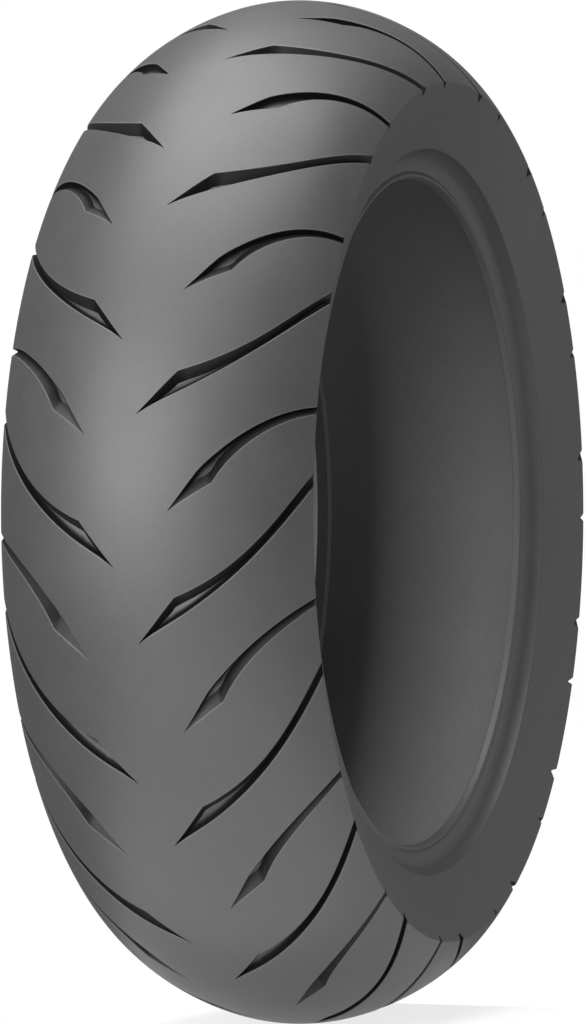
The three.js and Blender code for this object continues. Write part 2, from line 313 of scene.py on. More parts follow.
def add_node(tree, kind, settings=None, links=None):
    """A node with its settings by property or input name, and links by input name."""
    made = tree.nodes.new(kind)
    for key, value in (settings or {}).items():
        if isinstance(key, str) and hasattr(made, key):
            setattr(made, key, value)
        else:
            made.inputs[key].default_value = value
    for key, output in (links or {}).items():
        tree.links.new(output, made.inputs[key])
    return made


def noise(tree, place, across_mm, detail):
    """A cloudy pattern whose patches are about this many millimetres across."""
    settings = {"Scale": 1 / (across_mm * MM), "Detail": detail}
    return add_node(tree, "ShaderNodeTexNoise", settings, {"Vector": place}).outputs["Fac"]


def maths(tree, operation, *values):
    """One sum on numbers and node outputs, in the order given."""
    fixed = {i: v for i, v in enumerate(values) if isinstance(v, float)}
    wired = {i: v for i, v in enumerate(values) if i not in fixed}
    settings = {"operation": operation, **fixed}
    return add_node(tree, "ShaderNodeMath", settings, wired).outputs["Value"]


def ramp(tree, share, low, high, low_stop=0.0, high_stop=1.0):
    """The low colour up to one stop, the high colour from the other, and a blend between."""
    made = add_node(tree, "ShaderNodeValToRGB", links={"Fac": share})
    stops = ((low_stop, low), (high_stop, high))
    for element, (position, hex_colour) in zip(made.color_ramp.elements, stops):
        element.position, element.color = position, linear(hex_colour)
    return made.outputs["Color"]


def between(tree, share, low, high):
    settings = {"To Min": low, "To Max": high}
    return add_node(tree, "ShaderNodeMapRange", settings, {"Value": share}).outputs["Result"]


def new_material(name, hex_colour, roughness):
    material = bpy.data.materials.new(name)
    material.use_nodes = True
    material.diffuse_color = linear(hex_colour)
    shader = material.node_tree.nodes["Principled BSDF"]
    shader.inputs["Base Color"].default_value = linear(hex_colour)
    shader.inputs["Roughness"].default_value = roughness
    return material, material.node_tree, shader


# %% [markdown]
# Tyre rubber is natural and synthetic rubber filled with carbon black and cured in a steel mould. It
# leaves the mould with a satin skin: the mould's blasted face gives a fine grain, and waxes that rise
# to the surface give a faint, uneven bloom. A noise at each of those scales moves the colour and the
# roughness a little, and a low bump gives the grain. The tread has two layers more, drawn from marks
# on its corners: a painted highlight makes groove edges paler, and painted shade makes groove walls near
# black.

# %% Moulded rubber
RUBBER_IOR = 1.52
RUBBER_SPECULAR = 0.5
GRAIN_MM = 1.1  # blasted mould grain is about 0.2 mm; drawn coarser so that it shows
GRAIN_HEIGHT_MM = 0.035
BLOOM_MM = 45
SPECKLE_MM = 3.5
DARK_STOP, LIGHT_STOP = 0.1, 0.42  # of bloom times speckle, which is seldom above a half
ROUGHNESS_SWING = 0.07  # how far bloom moves the roughness each way
# The two tread layers below paint light: a paler colour on groove edges is a painted highlight, and a
# near-black, less glossy colour on groove walls is painted shade.
EDGE_HIGHLIGHT_LAYER = "painted_edge_highlight"
GROOVE_SHADE_LAYER = "groove_wall_painted_shade"  # how far each corner's face leans from the tread towards a groove's wall; it sets the painted shade
GROOVE_SHADE_COLOUR = "#0c0c0c"  # painted shade drawn on groove walls
GROOVE_SHADE_SPECULAR = 0.08


def over_by_layer(tree, skin, layer, hex_colour):
    """Another colour laid over the skin where a corner layer says so, and that layer's output."""
    mark = add_node(tree, "ShaderNodeAttribute", {"attribute_name": layer}).outputs["Fac"]
    settings = {"data_type": "RGBA", 7: linear(hex_colour)}
    mix = add_node(tree, "ShaderNodeMix", settings, {"Factor": mark, 6: skin})
    return mix.outputs[2], mark


def moulded_rubber(name, dark, light, roughness, edge=None):
    material, tree, shader = new_material(name, dark, roughness)
    place = add_node(tree, "ShaderNodeTexCoord").outputs["Object"]
    bloom = noise(tree, place, BLOOM_MM, 4.0)
    speckle = noise(tree, place, SPECKLE_MM, 3.0)
    both = maths(tree, "MULTIPLY", bloom, speckle)
    skin = ramp(tree, both, dark, light, DARK_STOP, LIGHT_STOP)
    # Painted light on the tread: a paler colour on groove edges as a painted highlight, and a near-black
    # colour with little gloss on groove walls as painted shade.
    if edge:
        skin, _ = over_by_layer(tree, skin, EDGE_HIGHLIGHT_LAYER, edge)
        skin, wall = over_by_layer(tree, skin, GROOVE_SHADE_LAYER, GROOVE_SHADE_COLOUR)
        gloss = between(tree, wall, RUBBER_SPECULAR, GROOVE_SHADE_SPECULAR)
        tree.links.new(gloss, shader.inputs["Specular IOR Level"])
    tree.links.new(skin, shader.inputs["Base Color"])
    sheen = between(tree, bloom, roughness - ROUGHNESS_SWING, roughness + ROUGHNESS_SWING)
    tree.links.new(sheen, shader.inputs["Roughness"])
    pits = noise(tree, place, GRAIN_MM, 5.0)
    settings = {"Distance": GRAIN_HEIGHT_MM * MM, "Strength": 1.0}
    bump = add_node(tree, "ShaderNodeBump", settings, {"Height": pits})
    tree.links.new(bump.outputs["Normal"], shader.inputs["Normal"])
    shader.inputs["IOR"].default_value = RUBBER_IOR
    return material


print("rubber looks ready, index of refraction", RUBBER_IOR)

# %% [markdown]
# A tyre has several rubbers. Tread and sidewall are nearly the same black, the chafer is a shade
# lighter, the liner is greyer and dull from its release powder, and the hidden ones keep the look that
# extruding gives them.

# %% The tyre's rubbers
LINER_SPECULAR = 0.2
# The paler #5c5c5d is a painted highlight along the groove edges.
tread_rubber = moulded_rubber("tread_rubber_moulded", "#2e2e2f", "#333334", 0.5, edge="#5c5c5d")
wall_rubber = moulded_rubber("sidewall_rubber_moulded", "#2e2e2f", "#333334", 0.5)
chafer_rubber = moulded_rubber("chafer_rubber_moulded", "#353536", "#3a3a3b", 0.5)
liner_rubber = moulded_rubber("liner_rubber_bladder_cured", "#505050", "#565656", 0.75)
liner_shader = liner_rubber.node_tree.nodes["Principled BSDF"]
liner_shader.inputs["Specular IOR Level"].default_value = LINER_SPECULAR
base_rubber = moulded_rubber("base_rubber_extruded", "#2c2d30", "#36373a", 0.66)
filler_rubber = moulded_rubber("filler_rubber_hard_extruded", "#232326", "#2b2b2e", 0.58)
print("rubbers made")

# %% [markdown]
# Cord plies are textile or steel threads laid side by side and pressed in a skin of rubber, so the
# skin shows a rib for each thread. The belt's thread winds round the tyre and the carcass's runs from
# bead to bead. The bead wire is bronze-plated steel, which lets rubber bond to it.

# %% Corded rubber and bead wire
CORD_ROUGHNESS = 0.72
CORD_BUMP_MM = 0.2
CORD_HEIGHT_SHARE = 0.5  # how much the ribs count beside the fibres
FIBRE_MM = 1 / 0.9  # about 1 mm, coarser than real fibres so that they show
WIRE_ROUGHNESS = 0.34
TARNISH_MM = 1 / 0.13  # about 8 mm across
TARNISH_STOP, BRONZE_STOP = 0.35, 0.6
WIRE_SMOOTHEST, WIRE_ROUGHEST = 0.25, 0.5


def corded_rubber(name, thread, skin, cords_round):
    """Ribs that cross the turning direction, so that they show as radial threads."""
    material, tree, shader = new_material(name, thread, CORD_ROUGHNESS)
    place = add_node(tree, "ShaderNodeTexCoord").outputs["Object"]
    axes = add_node(tree, "ShaderNodeSeparateXYZ", links={"Vector": place}).outputs
    angle = maths(tree, "ARCTAN2", axes["Z"], axes["X"])
    rib = maths(tree, "SINE", maths(tree, "MULTIPLY", angle, float(cords_round)))
    fibre = noise(tree, place, FIBRE_MM, 4.0)
    height = maths(tree, "MULTIPLY_ADD", rib, CORD_HEIGHT_SHARE, fibre)
    tree.links.new(ramp(tree, height, skin, thread), shader.inputs["Base Color"])
    bump = add_node(tree, "ShaderNodeBump", {"Distance": CORD_BUMP_MM * MM}, {"Height": height})
    tree.links.new(bump.outputs["Normal"], shader.inputs["Normal"])
    return material


def plated_wire(name, bronze, tarnish):
    material, tree, shader = new_material(name, bronze, WIRE_ROUGHNESS)
    place = add_node(tree, "ShaderNodeTexCoord").outputs["Object"]
    stain = noise(tree, place, TARNISH_MM, 5.0)
    colour = ramp(tree, stain, tarnish, bronze, TARNISH_STOP, BRONZE_STOP)
    tree.links.new(colour, shader.inputs["Base Color"])
    rough = between(tree, stain, WIRE_SMOOTHEST, WIRE_ROUGHEST)
    tree.links.new(rough, shader.inputs["Roughness"])
    shader.inputs["Metallic"].default_value = 1.0
    return material


PLY_CORDS = 700  # round the tyre
BELT_CORDS = 175  # fewer and coarser
ply_cord = corded_rubber("carcass_cord_calendered", "#6d6455", "#37352f", PLY_CORDS)
belt_cord = corded_rubber("belt_cord_wound", "#8a8069", "#3a382f", BELT_CORDS)
bead_wire = plated_wire("bead_wire_bronze_plated", "#b08d57", "#7a5f3a")
print("cords and wire made")

# %% [markdown]
# The tread pattern repeats fifteen times round the tyre. Each repeat has a long and a short groove on
# the right, and their mirror images, turned a little, on the left. A groove starts as a spear point,
# widens to a kink, narrows and curves out through the shoulder. One of its edges is a straight line
# and then a curve; the other is smooth. Each edge is a chain of cubic curves in (across, degrees).

# %% Groove outlines
PITCHES = 15
LEFT_SIDE_SHIFT = 8.07  # degrees the left side's pattern is turned from the right's
LONG_GROOVE_START = 10.05  # degrees from the short groove's tip to the long one's
HALVINGS = 40
LONG_GROOVE = {
    "plain": [[(5.5, 0), (24.75, 2.46), (71.45, 5.52), (95.5, 16.95)]],
    "spear": [
        [(5.5, 0), (13.07, 1.68), (20.63, 3.35), (28.2, 5.03)],
        [(28.2, 5.03), (63.95, 7.55), (81.47, 12.46), (95.5, 18.85)],
    ],
    "kink": 28.2,
}
SHORT_GROOVE = {
    "plain": [
        [(25.3, 0), (30.8, 1.52), (36.3, 3.03), (41.8, 4.55)],
        [(41.8, 4.55), (56.46, 7.83), (74.5, 10.83), (95.5, 13.3)],
    ],
    "spear": [
        [(25.3, 0), (33.23, 1.02), (41.17, 2.03), (49.1, 3.05)],
        [(49.1, 3.05), (49.52, 2.8), (55.04, 6.83), (95.5, 12.2)],
    ],
    "kink": 49.1,
}


def cubic(a, b, c, d, t):
    s = 1 - t
    return s**3 * a + 3 * s * s * t * b + 3 * s * t * t * c + t**3 * d


def edge_angle(edge, across):
    """The degrees of an edge at a place across, found by halving."""
    curve = next((c for c in edge if across <= c[-1][0]), edge[-1])
    low, high = 0.0, 1.0
    for _ in range(HALVINGS):
        middle = (low + high) / 2
        if cubic(*[p[0] for p in curve], middle) < across:
            low = middle
        else:
            high = middle
    return cubic(*[p[1] for p in curve], low)


for name, groove in (("long", LONG_GROOVE), ("short", SHORT_GROOVE)):
    ends = [edge_angle(groove[side], TREAD_HALF_WIDTH) for side in ("plain", "spear")]
    print(name, "groove leaves the shoulder between", [round(e, 2) for e in ends], "degrees")

# %% [markdown]
# Across its width a groove is a round-bottomed channel with steep walls. In the spear the channel
# keeps the kink's width and a flat facet slopes down to it from the straight edge, which leaves a
# crisp crease that curves to the tip. Where a groove meets the surface its edge is a little rounded.
# The lower of channel and facet is the groove, and their crossing is found by halving.

# %% A groove's section at one place across
GROOVE_DEPTH = 5.6
SHOULDER_GROOVE_DEPTH = 4.2
FLOOR_FADE_POWER = 4  # the floor rises late, close to the shoulder
FACET_SLOPE = 1.0  # the facet falls this much for each millimetre across
EDGE_ROUND = 0.6
EDGE_ROUND_SHARE = 0.15  # most of a narrow groove's width that the rounding takes
FLOOR_SQUARENESS = 1.0  # one is an ellipse; below one the floor is flatter
CHANNEL_STEPS = 12
CUTTER_OVERHANG = 1.2  # how far the cutting bar spreads past each edge, above the surface
CREASE_GAP = 0.03  # keeps the crease clear of the rounded edge
LEAST_WIDTH = 0.02


def mid_angle(groove, across):
    return (edge_angle(groove["plain"], across) + edge_angle(groove["spear"], across)) / 2


def squareness(groove, across):
    """How much narrower the groove is than its cut along the turning direction."""
    tip = groove["plain"][0][0][0]
    near, far = max(across - 1, tip), min(across + 1, TREAD_HALF_WIDTH)
    rise = mid_angle(groove, far) - mid_angle(groove, near)
    run = (below_crown(far, 0) - below_crown(near, 0)).length
    slope = rise * math.radians(crown_radius(across)) / run
    return 1 / math.hypot(1, slope)


def groove_width(groove, across):
    turn = abs(edge_angle(groove["spear"], across) - edge_angle(groove["plain"], across))
    return turn * math.radians(crown_radius(across)) * squareness(groove, across)


def groove_section(groove, across):
    """Pairs of (share of the width from the plain edge, depth), from edge to edge."""
    width = max(groove_width(groove, across), LEAST_WIDTH)
    channel = max(width, groove_width(groove, groove["kink"])) if across < groove["kink"] else width
    lip = min(EDGE_ROUND, EDGE_ROUND_SHARE * width)
    fade = (across / TREAD_HALF_WIDTH) ** FLOOR_FADE_POWER
    depth = GROOVE_DEPTH + (SHOULDER_GROOVE_DEPTH - GROOVE_DEPTH) * fade
    lip_depth = lip * FACET_SLOPE
    middle, half = channel / 2, channel / 2 - lip

    def channel_depth(x):
        round_part = max(0.0, 1 - ((x - middle) / half) ** 2) ** (FLOOR_SQUARENESS / 2)
        return lip_depth + (depth - lip_depth) * round_part

    low, high = lip, min(channel, width) - lip - min(CREASE_GAP, lip / 4)
    if channel_depth(high) > FACET_SLOPE * (width - high):
        for _ in range(HALVINGS):
            x = (low + high) / 2
            if channel_depth(x) < FACET_SLOPE * (width - x):
                low = x
            else:
                high = x
    crease = high
    last = math.acos(max(-1.0, min(1.0, (crease - middle) / half)))
    places = [(0.0, 0.0), (lip, lip_depth)]
    for i in range(1, CHANNEL_STEPS + 1):
        x = middle + half * math.cos(math.pi - (math.pi - last) * i / CHANNEL_STEPS)
        places.append((x, channel_depth(x)))
    places += [(width - lip, lip_depth), (width, 0.0)]
    over = (CUTTER_OVERHANG, -CUTTER_OVERHANG * FACET_SLOPE)
    places = [(-over[0], over[1]), *places, (width + over[0], over[1])]
    return [(x / width, d) for x, d in places], width


section, width = groove_section(LONG_GROOVE, 20)
print("spear 20 mm across:", round(width, 2), "mm wide,", round(max(d for _, d in section), 2), "deep")

# %% [markdown]
# A groove is cut by a solid bar whose underside has the groove's shape. The bar is a grid of stations
# across the tread by places across the groove, closed above by a lid that floats over the surface. It
# runs past the shoulder edge in a straight line, so the groove opens through the sidewall as a notch.

# %% Build the groove cutters
LID_HEIGHT = 3
TIP_LEAD = 0.5  # the bar starts just before the tip, lifted clear of the surface
TIP_GAP = 0.05  # from the tip to the first station
SPEAR_STATIONS = 12
SPEAR_CROWDING = 1.3  # above one, stations crowd towards the tip
CHANNEL_STATIONS = 18
CHANNEL_CROWDING = 1.4  # above one, stations crowd towards the shoulder
RUN_ON = [3, 6, 9, 12]


def station_list(groove):
    tip, kink = groove["plain"][0][0][0], groove["kink"]
    out = [(i / SPEAR_STATIONS) ** SPEAR_CROWDING for i in range(1, SPEAR_STATIONS)]
    on = [1 - (1 - i / CHANNEL_STATIONS) ** CHANNEL_CROWDING for i in range(CHANNEL_STATIONS + 1)]
    spear = [tip + (kink - tip) * share for share in out]
    rest = [kink + (TREAD_HALF_WIDTH - kink) * share for share in on]
    return [tip + TIP_GAP, *spear, *rest]


def groove_rows(groove):
    """For each station, the bar's underside and lid as (place in the section, degrees)."""
    rows = []
    for across in station_list(groove):
        places, width = groove_section(groove, across)
        plain, spear = edge_angle(groove["plain"], across), edge_angle(groove["spear"], across)
        degrees = [plain + (spear - plain) * share for share, _ in places]
        foot = [below_crown(across, depth) for _, depth in places]
        lid = [below_crown(across, -LID_HEIGHT)] * len(places)
        rows.append((foot, lid, degrees))
    foot, lid, degrees = rows[0]
    lead = Vector((TIP_LEAD, 0))
    raised = [below_crown(p.x - TIP_LEAD, -TIP_LEAD) for p in foot]
    rows.insert(0, (raised, [p - lead for p in lid], degrees))
    run_way = crown_normal(TREAD_HALF_WIDTH)
    run_way = Vector((run_way.y, -run_way.x))
    foot, lid, degrees = rows[-1]
    turn = mid_angle(groove, TREAD_HALF_WIDTH) - mid_angle(groove, TREAD_HALF_WIDTH - 1)
    length = (shoulder - below_crown(TREAD_HALF_WIDTH - 1, 0)).length
    for run in RUN_ON:
        past = [a + turn * run / length for a in degrees]
        rows.append(([p + run * run_way for p in foot], [p + run * run_way for p in lid], past))
    return rows


def add_bar(points, faces, rows, start, side):
    """Adds one closed bar: underside, lid, both edges and an end cap at each end."""
    first, count = len(points), len(rows[0][2])
    for foot, lid, degrees in rows:
        for line in (foot, lid):
            for p, angle in zip(line, degrees):
                points.append(on_tyre(Vector((side * p.x, p.y)), start + angle))
    bar = []
    for r in range(len(rows) - 1):
        here, there = first + 2 * count * r, first + 2 * count * (r + 1)
        for i in range(count - 1):
            bar.append((here + i, here + i + 1, there + i + 1, there + i))
            over, onward = here + count + i, there + count + i
            bar.append((over, onward, onward + 1, over + 1))
        bar.append((here, there, there + count, here + count))
        end = count - 1
        bar.append((here + end, here + count + end, there + count + end, there + end))
    for base, flip in ((first, False), (first + 2 * count * (len(rows) - 1), True)):
        for i in range(count - 1):
            cap = (base + i, base + count + i, base + count + i + 1, base + i + 1)
            bar.append(cap[::-1] if flip else cap)
    rising = rows[1][2][-1] > rows[1][2][0]
    faces += bar if rising == (side > 0) else [face[::-1] for face in bar]


cutter_points, cutter_faces = [], []
long_rows, short_rows = groove_rows(LONG_GROOVE), groove_rows(SHORT_GROOVE)
for pitch in range(PITCHES):
    for side in (1, -1):
        start = 360 / PITCHES * pitch + (LEFT_SIDE_SHIFT if side < 0 else 0)
        add_bar(cutter_points, cutter_faces, short_rows, start, side)
        add_bar(cutter_points, cutter_faces, long_rows, start + LONG_GROOVE_START, side)
cutter_mesh = bpy.data.meshes.new("groove_cutters")
cutter_mesh.from_pydata(cutter_points, [], cutter_faces)
print("cutters:", 4 * PITCHES, "bars,", len(cutter_faces), "faces")

# %% [markdown]
# The tread cap is first a plain ring with many rows across, closer together near the shoulder where
# the crown rolls over. It wraps a little way down each sidewall. The bars are then taken out of it in
# one boolean step, which gives clean groove edges that no bump map could.

# %% Turn the tread cap and cut its grooves
CROWN_ROWS = 30
ROW_CROWDING = 1.5  # above one, rows crowd towards the shoulder
TREAD_TOUCH = 0.05  # mm within which a point counts as on the running surface

wing_foot = shoulder + WING_LENGTH * down_sidewall
shoulder_inside = shoulder + (wall_depth - core_near) * into_rubber
shoulder_inside += WING_ROOT_LOWER * down_sidewall
wing_root = shoulder_inside.lerp(shoulder, WING_ROOT_SHARE)
shares = [1 - (1 - (i + 0.5) / CROWN_ROWS) ** ROW_CROWDING for i in range(CROWN_ROWS)]
outer_half = [below_crown(TREAD_HALF_WIDTH * share, 0) for share in shares] + [shoulder]
cap_inside = within(BASE_HALF_WIDTH, inner_face["cap"])
cap_side = [*outer_half, wing_foot, wing_root]
cap_section = [*mirrored(cap_side), *cap_side, *reversed(cap_inside)]
plain_tread = bpy.data.objects.new("plain_tread", ring_mesh("plain_tread", [cap_section], SEEN_STEPS))
cutters = bpy.data.objects.new("groove_cutters", cutter_mesh)
for made in (plain_tread, cutters):
    bpy.context.scene.collection.objects.link(made)
cut = plain_tread.modifiers.new("grooves", "BOOLEAN")
cut.operation, cut.solver, cut.object = "DIFFERENCE", "MANIFOLD", cutters
bpy.context.view_layer.update()
shown = plain_tread.evaluated_get(bpy.context.evaluated_depsgraph_get())
tread_mesh = bpy.data.meshes.new_from_object(shown)
tread_mesh.name = "tread_cap"
for made in (plain_tread, cutters):
    bpy.data.objects.remove(made)
print("tread after cutting:", len(tread_mesh.polygons), "faces")

# %% [markdown]
# A cut mesh has long thin faces beside each groove, and plain smooth shading would smear across them.
# So the shading normals are set one by one: faces of the running surface take the crown curve's own
# normal, faces of the sidewall take its cone's, and groove walls keep their own, except where they
# meet the surface. There they take the crown's normal, so the edge looks rounded. The same edge is
# marked in a layer that the rubber uses for a painted highlight, and a second layer says how much
# each corner belongs to a groove's wall, which the rubber uses for painted shade. First come the
# measures that this needs.

# %% Measures of the cut tread
def turned_normals(points, outward, sideways):
    """Section normals turned to stand at each point, as an array."""
    turn = np.arctan2(points[:, 2], points[:, 0])
    side = sideways * np.sign(points[:, 1])
    return np.stack([outward * np.cos(turn), side, outward * np.sin(turn)], axis=1)


def on_crown_normals(points):
    across = np.abs(points[:, 1]) / MM
    flat = np.array([crown_normal(min(a, TREAD_HALF_WIDTH)) for a in across])
    return turned_normals(points, flat[:, 1], flat[:, 0])


def on_cone_normals(points):
    return turned_normals(points, -into_rubber.y, -into_rubber.x)


def alike(a, b):
    """The cosine between paired normals."""
    return (a * b).sum(axis=1)


def crown_depths(points):
    """How far each point is below the running surface, along the radius, in millimetres."""
    across = np.clip(np.abs(points[:, 1]) / MM, 0, TREAD_HALF_WIDTH)
    return crown_radius(across) - np.hypot(points[:, 0], points[:, 2]) / MM


def read_mesh(items, key, width=1, kind=np.float32):
    """One property of every vertex, corner or face, as an array."""
    values = np.empty(len(items) * width, dtype=kind)
    items.foreach_get(key, values)
    return values.reshape(-1, width) if width > 1 else values


print("cut tread: 0 mm across lies", round(crown_radius(0), 2), "mm from the axle")

# %% [markdown]
# A face belongs to the running surface if all of its corners lie on it and it faces the same way, and
# to the sidewall's cone if it faces as the cone does. Every other face is in a groove.

# %% Set the tread's shading normals
GROOVE_CRISP_ANGLE = math.radians(38)
CONE_MATCH = 0.999  # cosine above which a face counts as lying on the sidewall's cone
EDGE_MARGIN = 0.2  # mm kept clear of the shoulder edge, which stays crisp
# These two set how much painted shade a groove's face gets.
WALL_STARTS = 0.97  # cosine of the lean at which a groove's face begins to count as wall
WALL_FULL = 0.66  # and at which it is all wall


def add_corner_layer(mesh, name, values):
    layer = mesh.attributes.new(name, "FLOAT", "CORNER")
    layer.data.foreach_set("value", values.astype(np.float32))


def set_tread_normals(mesh):
    mesh.shade_smooth()
    mesh.set_sharp_from_angle(angle=GROOVE_CRISP_ANGLE)
    points = read_mesh(mesh.vertices, "co", 3).astype(float)
    normals = read_mesh(mesh.corner_normals, "vector", 3).astype(float)
    corner_point = read_mesh(mesh.loops, "vertex_index", kind=np.int32)
    sizes = read_mesh(mesh.polygons, "loop_total", kind=np.int32)
    face_normals = read_mesh(mesh.polygons, "normal", 3)
    face_of = np.repeat(np.arange(len(sizes)), sizes)
    first_point = points[corner_point[np.cumsum(sizes) - sizes]]
    on_surface = (np.abs(crown_depths(points)) < TREAD_TOUCH)[corner_point]

    touching = np.bincount(face_of, weights=on_surface, minlength=len(sizes))
    like_crown = alike(on_crown_normals(first_point), face_normals) > math.cos(GROOVE_CRISP_ANGLE)
    running = (touching == sizes) & like_crown
    flank = alike(on_cone_normals(first_point), face_normals) > CONE_MATCH
    corner_runs, corner_flank = running[face_of], flank[face_of]
    across = np.abs(points[:, 1][corner_point]) / MM
    clear = across < TREAD_HALF_WIDTH - EDGE_MARGIN
    rounded_edge = on_surface & ~corner_runs & ~corner_flank & clear

    crown = on_crown_normals(points)[corner_point]
    cone = on_cone_normals(points)[corner_point]
    normals = np.where((corner_runs | rounded_edge)[:, None], crown, normals)
    normals = np.where(corner_flank[:, None], cone, normals)
    mesh.normals_split_custom_set(normals.tolist())
    # The wall layer drives the painted shade in the grooves, and the edge layer a painted highlight on
    # their edges.
    lean = (WALL_STARTS - alike(normals, crown)) / (WALL_STARTS - WALL_FULL)
    outside = corner_runs | corner_flank | rounded_edge
    add_corner_layer(mesh, GROOVE_SHADE_LAYER, np.where(outside, 0, np.clip(lean, 0, 1)))
    add_corner_layer(mesh, EDGE_HIGHLIGHT_LAYER, rounded_edge)
    return int(running.sum()), int(flank.sum()), int(rounded_edge.sum())


counts = set_tread_normals(tread_mesh)
print("running, sidewall and edge counts:", counts)
add_piece("grooved_tread", tread_mesh, tread_rubber, "tread_rubber", "tread_cap")

# %% [markdown]
# The flange hollow is the shallow scoop between the heel and the lip where the rim's edge lies. It is
# a parabola sunk below the straight line between them. The chafer and the sidewall share it, and meet
# at a seam halfway.

# %% Bead pieces' shared lines
across_scoop = (LIP - HEEL_TOP).normalized()


def in_scoop(share):
    sink = 4 * FLANGE_SCOOP_DEPTH * share * (1 - share)
    return HEEL_TOP.lerp(LIP, share) + sink * Vector((-across_scoop.y, across_scoop.x))


ply_side = [half_line(core_near)[-2], half_line(core_near)[-3]]
up_ply = (ply_side[1] - ply_side[0]).normalized()
filler_tip = ply_side[0] + FILLER_HEIGHT * up_ply
filler_foot = in_bead(core_far, core_top + CLEARANCE)
core_lid = [in_bead(core_near, core_top + CLEARANCE), filler_foot]
filler_heel = crossing(*ply_side, *core_lid)
turn_up_end = filler_foot.lerp(filler_tip, TURN_UP_SHARE)
around_core = [
    *half_line(core_near)[:-1],
    in_bead(core_near, CORE_LIFT),
    in_bead(core_far, CORE_LIFT),
    filler_foot,
    turn_up_end,
]


def wrap_line(distance):
    return beside(both_halves(around_core), -distance)


over_ply = wrap_line(2 * CLEARANCE + THICKNESSES["ply"])[-4:]
seam_inner = over_ply[1].lerp(over_ply[2], SEAM_SHARE)
seam_outer = in_scoop(SEAM_SHARE)
print("seam at", tuple(round(x, 1) for x in seam_outer))


def both_sides(name, section, material, slot, steps=SEEN_STEPS):
    for side, outline in (("right", section), ("left", mirrored(section))):
        mesh = ring_mesh(f"{name}_{side}", [outline], steps)
        add_piece(f"{name}_{side}_moulded", mesh, material, slot, f"{name}_{side}")


# %% [markdown]
# The chafer is the tough strip that rubs on the rim. Its bead seat slopes up from the toe, rolls over
# at the heel, and a small crease leads into the flange hollow.

# %% Chafers
SCOOP_STEPS = 10  # in each half of the flange hollow
scoop_low = [in_scoop(SEAM_SHARE * i / SCOOP_STEPS) for i in range(1, SCOOP_STEPS)]
chafer_top = in_bead(0, liner_end - CLEARANCE)
toe_arc = rounded(chafer_top, TOE, HEEL, TOE_ROUND)
heel_arc = rounded(TOE, HEEL, HEEL_TOP, HEEL_ROUND)
chafer_section = [
    chafer_top,
    *straight(chafer_top, toe_arc[0]),
    *toe_arc,
    *straight(toe_arc[-1], heel_arc[0]),
    *heel_arc,
    *rounded(HEEL, HEEL_TOP, scoop_low[0], CREASE_ROUND),
    *scoop_low,
    seam_outer,
    seam_inner,
    over_ply[1],
    over_ply[0],
    in_bead(THICKNESSES["liner"], liner_end - CLEARANCE),
]
both_sides("chafer", chafer_section, chafer_rubber, "hard_rubber")

# %% [markdown]
# The sidewall is a plain cone from the tread's wing to the lip, and turns under the lip into the
# hollow. Its outer line starts exactly where the wing ends, so the two rubbers read as one moulding.

# %% Sidewalls
over_filler = beside([filler_foot, filler_tip], -CLEARANCE)
turn_up_along = (filler_tip - filler_foot).normalized()
under_tread = half_line(inner_face["belt"])[:-2]
first_past = next(i for i, p in enumerate(under_tread) if p.x > BASE_HALF_WIDTH + CLEARANCE)
wing_seam = beside([wing_foot, wing_root, cap_inside[-1]], CLEARANCE)
scoop_high = [in_scoop(1 - (1 - SEAM_SHARE) * i / SCOOP_STEPS) for i in range(1, SCOOP_STEPS)]
lip_arc = rounded(wing_foot, LIP, scoop_high[0], LIP_ROUND)
sidewall_section = [
    wing_foot,
    *straight(wing_foot, lip_arc[0]),
    *lip_arc,
    *scoop_high,
    seam_outer,
    seam_inner + CLEARANCE * (over_ply[2] - over_ply[1]).normalized(),
    over_ply[2],
    over_ply[3] + CLEARANCE * turn_up_along,
    over_filler[0].lerp(over_filler[1], TURN_UP_SHARE) + CLEARANCE * turn_up_along,
    crossing(*over_filler, *ply_side),
    *reversed(under_tread[first_past:]),
    within(BASE_HALF_WIDTH + CLEARANCE, outer_face["base"])[-1],
    wing_seam[1],
]
both_sides("sidewall", sidewall_section, wall_rubber, "sidewall_rubber")

# %% [markdown]
# The inner liner is the airtight skin. A rubber bladder presses it against the carcass during the
# cure. The powder that frees the bladder stays on it, so it is duller than the outside.

# %% Inner liner
liner_section = [*line_at(inner_face["liner"]), *reversed(line_at(outer_face["liner"]))]
liner_mesh = ring_mesh("inner_liner", [liner_section], SEEN_STEPS)
add_piece("airtight_liner", liner_mesh, liner_rubber, "liner_rubber", "inner_liner")

# %% [markdown]
# The layers between are hidden in a whole tyre, but they are real pieces of it. The belt's outer face
# is ribbed by its wound cord. A cord of the belt is about 1 mm wide; its rib is drawn three times as
# wide, so that it shows.

# %% Hidden layers
CORD_RIB_MM = 3.0
CORD_RIB_HEIGHT = 0.12


def layer_section(layer, half_width):
    low, high = within(half_width, inner_face[layer]), within(half_width, outer_face[layer])
    return [*low, *reversed(high)]


def ribbed_line(line):
    """The same line, resampled with a shallow valley between neighbouring cords."""
    lengths = [0.0]
    for a, b in zip(line, line[1:]):
        lengths.append(lengths[-1] + (b - a).length)
    count = round(lengths[-1] / CORD_RIB_MM) * 2
    made = []
    for i in range(count + 1):
        want = lengths[-1] * i / count
        k = max(j for j in range(len(line) - 1) if lengths[j] <= want)
        along = line[k + 1] - line[k]
        p = line[k] + along * (want - lengths[k]) / along.length
        sunk = CORD_RIB_HEIGHT if i % 2 == 0 else 0
        made.append(p + sunk * Vector((along.y, -along.x)).normalized())
    return made


